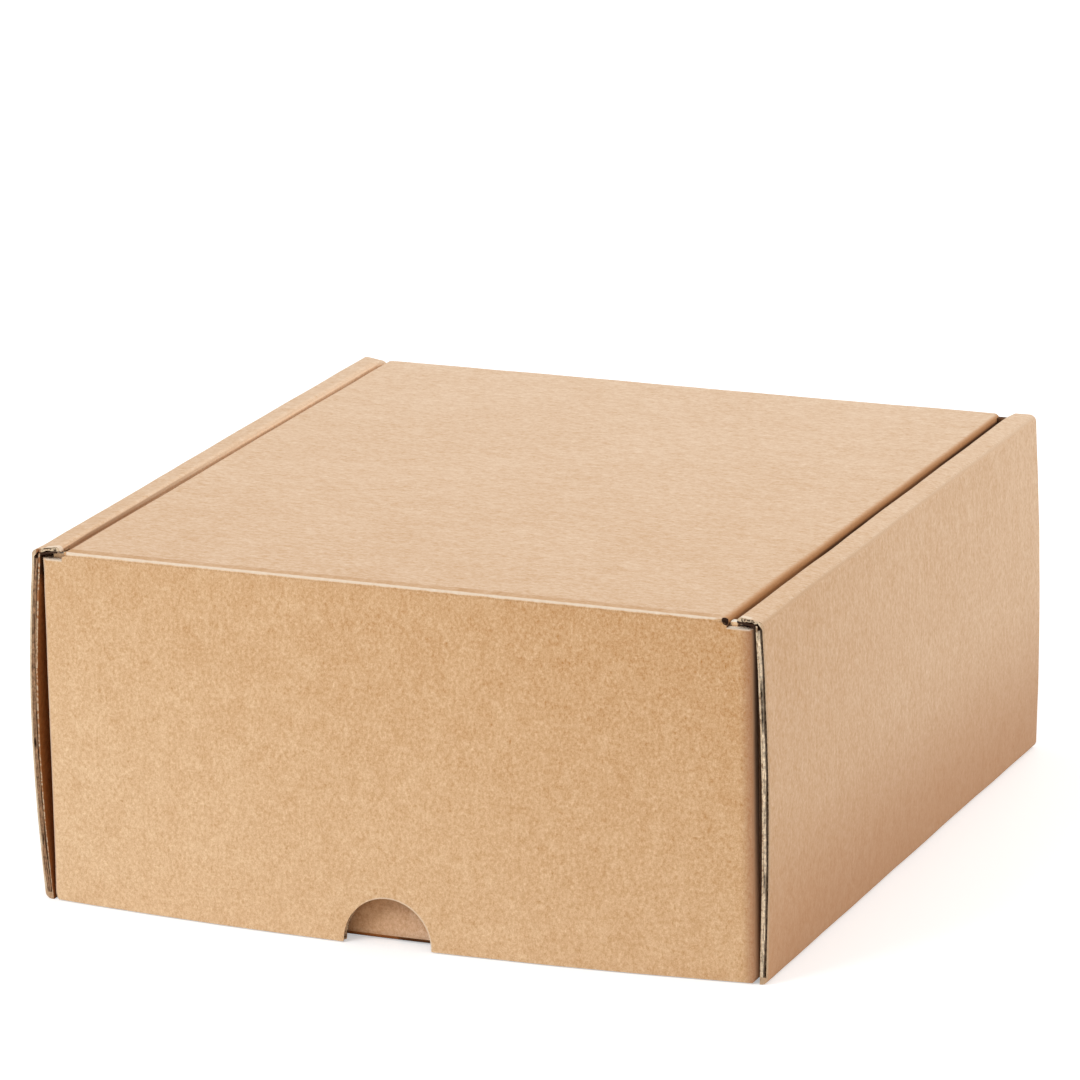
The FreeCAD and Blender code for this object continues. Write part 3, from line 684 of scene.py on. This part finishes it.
def reaches(values, level, slack=SLACK):
    """Whether the greatest value is at a level."""
    return abs(max(values) - level) < slack


def merged_copy(node):
    """A bmesh of a CAD node in millimetres, its triangles joined and its flat faces whole."""
    mesh = bmesh.new()
    mesh.from_mesh(frame["nodes"][node].data)
    bmesh.ops.scale(mesh, vec=(1 / MM,) * 3, verts=mesh.verts)
    bmesh.ops.remove_doubles(mesh, verts=mesh.verts, dist=0.0005)
    bmesh.ops.dissolve_limit(
        mesh, angle_limit=math.radians(0.05), verts=mesh.verts, edges=mesh.edges)
    return mesh


def cut_in_grid(mesh, step):
    """Cuts the faces along evenly spaced planes, so that they can bend."""
    corners = [vert.co.copy() for vert in mesh.verts]
    for axis in range(3):
        low = min(corner[axis] for corner in corners)
        high = max(corner[axis] for corner in corners)
        count = max(int((high - low) / step), 1)
        normal = Vector([float(axis == n) for n in range(3)])
        for place in range(1, count):
            point = normal * (low + (high - low) * place / count)
            geometry = mesh.verts[:] + mesh.edges[:] + mesh.faces[:]
            bmesh.ops.bisect_plane(
                mesh, geom=geometry, dist=0.0005, plane_co=point, plane_no=normal)


def finish_piece(mesh, name, body, replaced=()):
    """Puts a bmesh, in millimetres, in the scene as a piece that rides on a body."""
    bmesh.ops.scale(mesh, vec=(MM,) * 3, verts=mesh.verts)
    data = bpy.data.meshes.new(name)
    mesh.to_mesh(data)
    mesh.free()
    for material in material_list():
        data.materials.append(material)
    data.polygons.foreach_set("use_smooth", [True] * len(data.polygons))
    data.set_sharp_from_angle(angle=math.radians(32))
    piece = bpy.data.objects.new(name, data)
    bpy.context.scene.collection.objects.link(piece)
    even = piece.modifiers.new("even_shading", "WEIGHTED_NORMAL")
    even.keep_sharp = True
    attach(piece, body)
    if replaced:
        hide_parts(*replaced)
    return piece


def share(value, low, high):
    """0 at low, 1 at high, in a straight line between."""
    return min(max((value - low) / (high - low), 0), 1)


def settled(point):
    """How a set-up box strays from its plan: the front wall bows, the rolls droop at the back."""
    x, y, z = point.x - MIDDLE_X, point.y, point.z
    wall = share(y, FRONT_FACE + 40, FRONT_FACE + 8) * share(z, WALL_BOW_TOP, 0)
    wall *= 1 - min(abs(x) / WALL_REACH, 1) ** 2
    side = SIDES["left" if x < 0 else "right"]
    inner = share(abs(x), HALF_WIDTH - 2.5, HALF_WIDTH - side["width"])
    fall = side["sag"] * share(y, FRONT_FACE + 4, FRONT_FACE + 25)
    fall += (side["droop"] - side["sag"]) * share(y, BACK_FACE - 14, BACK_FACE - 1) ** 2
    droop = fall * inner * share(z, 110, 128)
    if abs(x) < HALF_WIDTH - side["width"] - 0.4:
        droop = 0
    return Vector((0, -WALL_BOW * wall, -droop))


def dress(mesh, shape=None):
    """Cuts a copied sheet in a grid and lets its panels sink a little."""
    sizes = bpy.context.scene.board_sizes
    cut_in_grid(mesh, sizes.grid / MM)
    amount = sizes.unevenness / MM
    for vert in mesh.verts:
        move = unevenness(vert.co, amount)
        if shape:
            move += shape(vert.co)
        vert.co += move


def body_slot(face):
    """The paper of a face of the box body."""
    across = [abs(vert.co.x - MIDDLE_X) for vert in face.verts]
    for cut, way in ((SIDE_FRONT, 1), (SIDE_BACK, -1)):
        depths = [(vert.co.y - cut) * way for vert in face.verts]
        if min(across) < ROLL_REACH or not spans(depths, 0, VOID_DEPTH):
            continue
        if reaches(depths, 0):
            return CUT_SLOT
        if reaches(depths, VOID_DEPTH):
            return VOID_SLOT
    heights = [vert.co.z for vert in face.verts]
    centre = face.calc_center_median()
    if spans(heights, WALL_TOP, WALL_TOP) and centre.y < FRONT_FACE + 8:
        return CUT_SLOT
    outwards = face.normal.x * math.copysign(1, centre.x - MIDDLE_X)
    if min(across) > HALF_WIDTH - 4.2 and outwards < -0.3:
        return INSIDE_SLOT
    if min(across) > ROLL_REACH and max(across) < HALF_WIDTH - 3.1 and \
            centre.z < ROLL_TOP - 0.6 and centre.y > FRONT_FACE + 5 and outwards > -0.3:
        return INSIDE_SLOT
    if min(across) > ROLL_REACH and centre.z > 120 and face.normal.z < -0.3:
        return INSIDE_SLOT
    return LINER_SLOT


class BOX_OT_body_board(bpy.types.Operator):
    """Makes the box body's sheet with its papers, cut edges and voids"""

    bl_idname = "box.body_board"
    bl_label = "Box body"

    def execute(self, context):
        mesh = merged_copy("box_body")
        for face in mesh.faces:
            face.material_index = body_slot(face)
        dress(mesh, settled)
        finish_piece(mesh, "box_board", "box", ["box_body"])
        return {"FINISHED"}


# The notch's arc is cut in short straight edges.
ARC_SLACK = 0.4


def flap_middle(x, z):
    """The Y of the flap's middle layer, which bows out towards its lower edge."""
    drop = (HINGE.z - z) / (HINGE.z - FLAP_FOOT)
    return FRONT_FACE + BOARD / 2 - FLAP_BOW * drop * (1 - (x / FLAP_REACH) ** 2)


def flap_slot(face):
    """The paper of a face of the front flap."""
    points = [Vector((vert.co.x - MIDDLE_X, vert.co.y, vert.co.z)) for vert in face.verts]
    across = [abs(point.x) for point in points]
    off_middle = [abs(point.y - flap_middle(point.x, point.z)) for point in points]
    inside = max(off_middle) < BOARD / 2 - LINER / 2
    rounds = [math.hypot(point.x - NOTCH_X, point.z - ARC_CENTRE_Z) - NOTCH_RADIUS
              for point in points]
    rises = [point.z - FLAP_FOOT for point in points]
    drops = [SHOULDER - point.z for point in points]
    for depths, slack in ((rises, SLACK), (drops, SLACK), (rounds, ARC_SLACK)):
        if max(off_middle) > BOARD or not spans(depths, 0, VOID_DEPTH, slack):
            continue
        if max(depths) < slack and max(off_middle) < BOARD / 2 + 0.1 and abs(face.normal.y) < 0.3:
            return CUT_SLOT
        if inside and reaches(depths, VOID_DEPTH, slack) and max(across) < FLAP_REACH - 2.1:
            return VOID_SLOT
    if min(across) > FLAP_REACH - BOARD - 0.1 and abs(face.normal.x) < 0.35 and \
            min(point.y for point in points) > FRONT_FACE + BOARD + 0.5:
        return CUT_SLOT
    return LINER_SLOT


class BOX_OT_flap_board(bpy.types.Operator):
    """Makes the front flap's sheet with its papers, cut edges and voids"""

    bl_idname = "box.flap_board"
    bl_label = "Front flap"

    def execute(self, context):
        mesh = merged_copy("front_flap")
        for face in mesh.faces:
            face.material_index = flap_slot(face)
        dress(mesh)
        finish_piece(mesh, "flap_board", "flap", ["front_flap"])
        return {"FINISHED"}


def ribbon(mesh, path, depth, thickness):
    """A strip of paper that starts along a path and goes into the board by depth."""
    verts = [bmesh.ops.create_vert(mesh, co=point)["vert"][0] for point in path]
    edges = [mesh.edges.new(pair) for pair in zip(verts, verts[1:])]
    grown = bmesh.ops.extrude_edge_only(mesh, edges=edges)["geom"]
    deep = [item for item in grown if isinstance(item, bmesh.types.BMVert)]
    for vert, start in zip(deep, verts):
        vert.co += depth(start.co) if callable(depth) else depth
    faces = [item for item in grown if isinstance(item, bmesh.types.BMFace)]
    bmesh.ops.recalc_face_normals(mesh, faces=faces)
    bmesh.ops.solidify(mesh, geom=faces, thickness=thickness)


def paint(mesh, slot):
    """Gives a slot to the faces that have none yet."""
    for face in mesh.faces:
        if face.material_index == LINER_SLOT:
            face.material_index = slot


def torn_depth(seed):
    """How far down the crushed papers hang in the end of a rolled strip, point by point."""
    def depth(start):
        torn = noise.noise(Vector((start.x / 1.4, seed * 5.5, 0.7)))
        return Vector((0, 0, -0.85 - 0.45 * torn))
    return depth


def wander(along, seed, amount):
    """How far the fluted paper strays from the middle of the void in a lengthwise cut."""
    slow = noise.noise(Vector((along / 11, seed, 0.5)))
    quick = noise.noise(Vector((along / 2.1, seed, 7.5)))
    return amount * min(max(1.3 * slow + 0.45 * quick, -1), 1)


# The walls' corners beside the lid: from X to X, the middle's Y, and the top.
CORNER_FRONT = FRONT_FACE + BOARD * 1.5 + 0.15
CORNER_BACK = BACK_FACE - 4.7
WALL_CORNERS = (
    (-129.6, LID_LEFT + 0.2, CORNER_FRONT, 127.2),
    (LID_RIGHT + 0.2, 126.0, CORNER_FRONT, 126.9),
    (LID_RIGHT - 0.4, 126.6, CORNER_BACK, 127.6))


class BOX_OT_wall_corners(bpy.types.Operator):
    """Makes the walls' upper corners, which stand up beside the lid"""

    bl_idname = "box.wall_corners"
    bl_label = "Wall corners"

    def execute(self, context):
        mesh = bmesh.new()
        for start, end, y, top in WALL_CORNERS:
            size = Vector((end - start, BOARD, top - WALL_TOP + 1))
            middle = Vector(((start + end) / 2 + MIDDLE_X, y, top - size.z / 2))
            verts = bmesh.ops.create_cube(mesh, size=1)["verts"]
            bmesh.ops.scale(mesh, vec=size, verts=verts)
            bmesh.ops.translate(mesh, vec=middle, verts=verts)
        bmesh.ops.bevel(
            mesh, geom=mesh.edges[:], offset=0.3, segments=2, profile=0.5, affect="EDGES",
            material=-1)
        for face in mesh.faces:
            face.material_index = CUT_SLOT if face.normal.z > 0.9 else LINER_SLOT
            # The back corner is given the dark void paper, as painted shade.
            if face.calc_center_median().y > 0:
                face.material_index = VOID_SLOT
        finish_piece(mesh, "wall_corners", "box")
        return {"FINISHED"}


class BOX_OT_side_flutes(bpy.types.Operator):
    """Makes the fluted paper that shows in the side walls' front and back cut edges"""

    bl_idname = "box.side_flutes"
    bl_label = "Flutes in the side walls"

    def execute(self, context):
        thickness = context.scene.board_sizes.medium_thickness / MM
        mesh = bmesh.new()
        for seed, (name, side) in enumerate(SIDES.items()):
            for end, (y, inward) in enumerate(((SIDE_FRONT, 1), (SIDE_BACK, -1))):
                for number, shift in enumerate(side["flutes"]):
                    path = self.path(side, y + inward * 0.15, seed * 2 + end + number * 5, shift)
                    ribbon(mesh, path, Vector((0, inward * 1.8, 0)), thickness * 1.6)
                paint(mesh, MEDIUM_SLOT)
                path = self.crushed(side, y + inward * 0.2, seed * 2 + end)
                ribbon(mesh, path, torn_depth(seed), thickness * 1.6)
                paint(mesh, CUT_SLOT)
        for vert in mesh.verts:
            vert.co += settled(vert.co)
        finish_piece(mesh, "side_flutes", "box")
        return {"FINISHED"}

    def path(self, side, y, seed, shift):
        """Up the outer panel, at a shift from its middle."""
        points = []
        half = ROLL_TOP / 2
        height = 2.7
        while height < ROLL_TOP - 3.0:
            bow = side["bow"] * (1 - ((height - half) / half) ** 2)
            inward = BOARD / 2 + shift - bow + wander(height, seed * 3.7, 0.32)
            points.append(((HALF_WIDTH - inward) * side["way"] + MIDDLE_X, y, height))
            height += 0.5
        return points

    def crushed(self, side, y, seed):
        """Along the top of the void in the rolled strip's end."""
        points = []
        inward = 2.6
        while inward < side["width"] - 1.75:
            rise = side["rise"] * inward / side["width"]
            z = ROLL_TOP + rise - 0.5 + 0.06 * noise.noise(Vector((inward, seed, 2.5)))
            points.append(((HALF_WIDTH - inward) * side["way"] + MIDDLE_X, y, z))
            inward += 0.35
        return points


class BOX_OT_flap_flutes(bpy.types.Operator):
    """Makes the fluted paper that shows in the flap's lower edge, notch and shoulders"""

    bl_idname = "box.flap_flutes"
    bl_label = "Flutes in the front flap"

    def execute(self, context):
        sizes = context.scene.board_sizes
        thickness = sizes.medium_thickness / MM
        mesh = bmesh.new()
        foot = FLAP_FOOT + 0.15
        ends = ((-FLAP_REACH + 4, NOTCH_X - NOTCH_RADIUS - 1.2), (NOTCH_X + NOTCH_RADIUS + 1.2,
                                                                 FLAP_REACH - 4))
        for seed, (start, end) in enumerate(ends):
            path = self.line(start, end, foot, seed)
            ribbon(mesh, path, Vector((0, 0, 1.6)), thickness)
        ribbon(mesh, self.notch(sizes.flute_pitch / MM), self.outwards, thickness)
        paint(mesh, MEDIUM_SLOT)
        fold = FLAP_REACH - BOARD - 0.1
        for start, end in ((-fold, LID_LEFT - 0.1), (LID_RIGHT + 0.1, fold)):
            ribbon(mesh, self.shoulder(start, end), Vector((0, 1.7, 0)), thickness)
        paint(mesh, CUT_SLOT)
        finish_piece(mesh, "flap_flutes", "flap")
        return {"FINISHED"}

    def line(self, start, end, z, seed):
        """A straight cut along the flutes, where the fluted paper strays from side to side."""
        points = []
        count = int((end - start) / 0.8)
        for step in range(count + 1):
            x = start + (end - start) * step / count
            points.append((x + MIDDLE_X, flap_middle(x, z) + wander(x, 40 + seed, 0.6), z))
        return points

    def shoulder(self, start, end):
        """Papers crushed shut across a shoulder, from one end of its void to the other."""
        points = []
        for step in range(13):
            x = start + (end - start) * step / 12
            z = SHOULDER - 0.10 - 0.12 * abs(noise.noise(Vector((x, 3.3, 9.9))))
            points.append((x + MIDDLE_X, FRONT_FACE + LINER + 0.05, z))
        return points

    def notch(self, pitch):
        """The notch's arc, which cuts across the flutes at its feet and along them at its top."""
        points = []
        radius = NOTCH_RADIUS + 0.15
        for step in range(141):
            angle = math.radians(2 + 176 * step / 140)
            x = NOTCH_X - radius * math.cos(angle)
            z = ARC_CENTRE_Z + radius * math.sin(angle)
            wave = 0.72 * math.sin(2 * math.pi * z / pitch)
            points.append((x + MIDDLE_X, flap_middle(x, z) + wave, z))
        return points

    def outwards(self, start):
        """Into the board, away from the notch's centre."""
        centre = Vector((NOTCH_X + MIDDLE_X, start.y, ARC_CENTRE_Z))
        return (start - centre).normalized() * 1.6


class BOX_OT_stage(bpy.types.Operator):
    """Makes the floor, the lamps, the sky and the camera"""

    bl_idname = "box.stage"
    bl_label = "Stage"

    def execute(self, context):
        stage = context.scene.box_stage
        self.floor(stage)
        self.sky(stage)
        for lamp in LAMPS:
            self.lamp(*lamp)
        camera = bpy.data.objects.new("camera", bpy.data.cameras.new("camera"))
        camera.data.lens = stage.lens
        camera.data.sensor_width = 36
        camera.data.clip_end = 50
        camera.location = stage.camera_place
        camera.rotation_euler = Euler(stage.camera_turn)
        context.scene.collection.objects.link(camera)
        context.scene.camera = camera
        context.scene.view_settings.view_transform = "Standard"
        return {"FINISHED"}

    def floor(self, stage):
        mesh = bmesh.new()
        bmesh.ops.create_circle(mesh, cap_ends=True, segments=96, radius=FLOOR_RADIUS)
        bmesh.ops.translate(mesh, vec=(0, 0, CAD_LOW.z), verts=mesh.verts)
        data = bpy.data.meshes.new("floor")
        mesh.to_mesh(data)
        mesh.free()
        floor = bpy.data.objects.new("floor", data)
        bpy.context.scene.collection.objects.link(floor)
        material = bpy.data.materials.new("floor")
        material.use_nodes = True
        material.node_tree.nodes.clear()
        wire = Wire(material.node_tree)
        matt = wire.node("ShaderNodeBsdfDiffuse", {}, {"Color": (*stage.floor, 1)})
        seen = wire.node("ShaderNodeLightPath", output="Is Camera Ray")
        glow = wire.node(
            "ShaderNodeEmission", {}, {"Color": (1, 1, 1, 1), "Strength": seen * FLOOR_GLOW})
        join_output(wire, wire.node("ShaderNodeAddShader", {}, {0: matt, 1: glow}))
        data.materials.append(material)

    def sky(self, stage):
        world = bpy.data.worlds.new("sky")
        world.use_nodes = True
        world.node_tree.nodes.clear()
        wire = Wire(world.node_tree)
        seen = wire.node("ShaderNodeLightPath", output="Is Camera Ray")
        strength = stage.sky + seen * (1 - stage.sky)
        light = wire.node("ShaderNodeBackground", {}, {"Color": (1, 1, 1, 1), "Strength": strength})
        output = world.node_tree.nodes.new("ShaderNodeOutputWorld")
        world.node_tree.links.new(light.socket, output.inputs["Surface"])
        bpy.context.scene.world = world

    def lamp(self, name, place, size, watts):
        data = bpy.data.lights.new(name, "AREA")
        data.size = size
        data.energy = watts
        lamp = bpy.data.objects.new(name, data)
        lamp.location = place
        aim = LAMP_AIM - Vector(place)
        lamp.rotation_euler = aim.to_track_quat("-Z", "Y").to_euler()
        bpy.context.scene.collection.objects.link(lamp)


class BOX_PT_panel(bpy.types.Panel):
    """Lists the mailing box's pieces"""

    bl_idname = "BOX_PT_panel"
    bl_label = "Mailing box"
    bl_space_type = "VIEW_3D"
    bl_region_type = "UI"
    bl_category = "Mailing box"

    def draw(self, context):
        for operator in OPERATORS:
            self.layout.operator(operator.bl_idname)
        for settings in GROUPS:
            block = getattr(context.scene, settings)
            for name in block.__annotations__:
                self.layout.prop(block, name)


OPERATORS = (
    BOX_OT_body_board, BOX_OT_flap_board, BOX_OT_wall_corners, BOX_OT_side_flutes,
    BOX_OT_flap_flutes, BOX_OT_stage)
GROUPS = {"kraft_colours": KraftColours, "board_sizes": BoardSizes, "box_stage": StageSettings}


def register():
    for group in GROUPS.values():
        bpy.utils.register_class(group)
    for name, group in GROUPS.items():
        setattr(bpy.types.Scene, name, bpy.props.PointerProperty(type=group))
    for made in (*OPERATORS, BOX_PT_panel):
        bpy.utils.register_class(made)


def unregister():
    for made in (BOX_PT_panel, *reversed(OPERATORS)):
        bpy.utils.unregister_class(made)
    for name, group in GROUPS.items():
        delattr(bpy.types.Scene, name)
        bpy.utils.unregister_class(group)


def main():
    register()
    bpy.ops.box.body_board()
    bpy.ops.box.flap_board()
    bpy.ops.box.wall_corners()
    bpy.ops.box.side_flutes()
    bpy.ops.box.flap_flutes()
    bpy.ops.box.stage()


if __name__ == "__main__":
    main()
